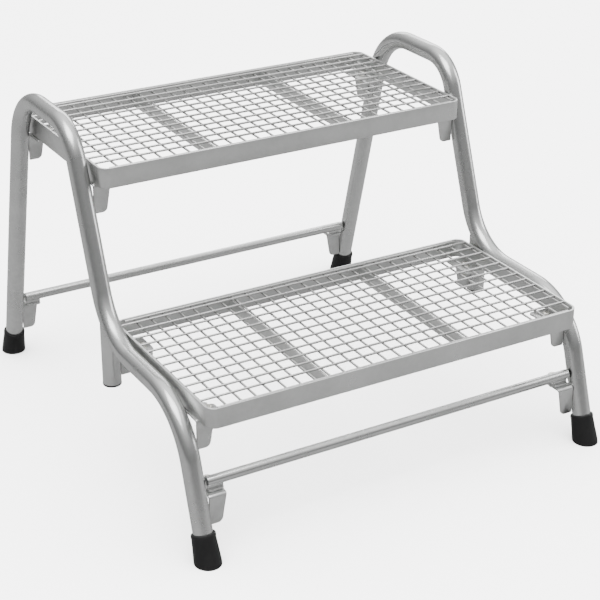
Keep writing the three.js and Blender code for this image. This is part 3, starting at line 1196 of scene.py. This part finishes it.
def sided(tree, direction):
    """How far a direction lies towards the bright side of the studio, from 0 to 1."""
    facing = add_node(tree, "VectorMath", {0: direction, 1: BRIGHT_SIDE}, operation="DOT_PRODUCT")
    share = add_node(tree, "MapRange", {
        "Value": facing.outputs["Value"], "From Min": -SIDE_SPREAD, "From Max": SIDE_SPREAD,
    })
    return share.outputs["Result"]


def studio_floor(finishes):
    """A plain pale floor, of which the metal reflects only a small share."""
    bpy.ops.mesh.primitive_plane_add(size=24)
    floor = open_new("studio_floor")
    bpy.ops.mesh.subdivide(number_cuts=3)
    close_shape()
    material, tree, shader, _ = new_material("floor_paint")
    shade = add_node(tree, "HueSaturation", {"Color": (*finishes.floor, 1)})
    by_ray(tree, shade.inputs["Value"], FLOOR_IN_METAL, 1.0)
    connect(tree, shader, {
        "Base Color": shade.outputs["Color"], "Roughness": 0.8, "Specular IOR Level": 0.0,
    })
    floor.data.materials.append(material)


def soft_box(name, place, width, height, radiance):
    """A soft rectangular light that faces the stool, as bright as the given radiance."""
    place = Vector(place)
    bpy.ops.object.light_add(type="AREA", location=place)
    light = bpy.context.object
    light.name = name
    light.rotation_euler = (Vector(LIGHT_AIM) - place).to_track_quat("-Z", "Y").to_euler()
    light.data.shape = "RECTANGLE"
    light.data.size = width
    light.data.size_y = height
    light.data.energy = radiance * math.pi * width * height


def studio_world():
    """A surround that is pale overhead and dim near the horizon.

    The metal reflects a weaker one, which is brighter towards one side.
    """
    world = bpy.data.worlds.new("studio_world")
    bpy.context.scene.world = world
    world.use_nodes = True
    tree = world.node_tree
    background = tree.nodes["Background"]
    direction = tree.nodes.new("ShaderNodeTexCoord")
    height = add_node(tree, "SeparateXYZ", {"Vector": direction.outputs["Generated"]})
    sky = grey_ramp(tree, height.outputs["Z"], SKY)
    tree.links.new(sky, background.inputs["Color"])
    side = sided(tree, direction.outputs["Generated"])
    in_metal = grey_ramp(tree, side, SURROUND_IN_METAL)
    by_ray(tree, background.inputs["Strength"], in_metal, SURROUND)


class STOOL_OT_stage(Operator):
    """Sets the camera, the pale floor and the soft studio light"""

    bl_idname = "stool.stage"
    bl_label = "Studio stage"

    def execute(self, context):
        bpy.ops.object.select_all(action="DESELECT")
        studio_camera()
        studio_floor(context.scene.stool_finishes)
        studio_world()
        for box in SOFT_BOXES:
            soft_box(*box)
        return {"FINISHED"}


# ---------- panel and registration ----------
OPERATORS = (
    STOOL_OT_stage, STOOL_OT_side_frames, STOOL_OT_rubber, STOOL_OT_treads,
    STOOL_OT_cross_bars, STOOL_OT_brackets, STOOL_OT_fasteners,
)


class STOOL_PT_build(Panel):
    """Lists the sizes, the colours and the steps that build the stool"""

    bl_idname = "STOOL_PT_build"
    bl_label = "Work stool"
    bl_space_type = "VIEW_3D"
    bl_region_type = "UI"
    bl_category = "Stool"

    def draw(self, context):
        layout = self.layout
        for group in (context.scene.stool_sizes, context.scene.stool_finishes):
            for name in group.__annotations__:
                layout.prop(group, name)
        for step in OPERATORS:
            layout.operator(step.bl_idname)


CLASSES = (StoolSizes, StoolFinishes, *OPERATORS, STOOL_PT_build)


def register():
    """Registers the classes and puts the sizes and finishes on the scene."""
    for cls in CLASSES:
        bpy.utils.register_class(cls)
    bpy.types.Scene.stool_sizes = PointerProperty(type=StoolSizes)
    bpy.types.Scene.stool_finishes = PointerProperty(type=StoolFinishes)


def unregister():
    """Takes the scene properties and the classes away again."""
    del bpy.types.Scene.stool_finishes
    del bpy.types.Scene.stool_sizes
    for cls in reversed(CLASSES):
        bpy.utils.unregister_class(cls)


def main():
    """Builds the whole stool and its stage."""
    register()
    bpy.ops.object.select_all(action="DESELECT")
    bpy.ops.stool.stage()
    bpy.ops.stool.side_frames()
    bpy.ops.stool.rubber()
    bpy.ops.stool.treads()
    bpy.ops.stool.cross_bars()
    bpy.ops.stool.brackets()
    bpy.ops.stool.fasteners()


if __name__ == "__main__":
    main()
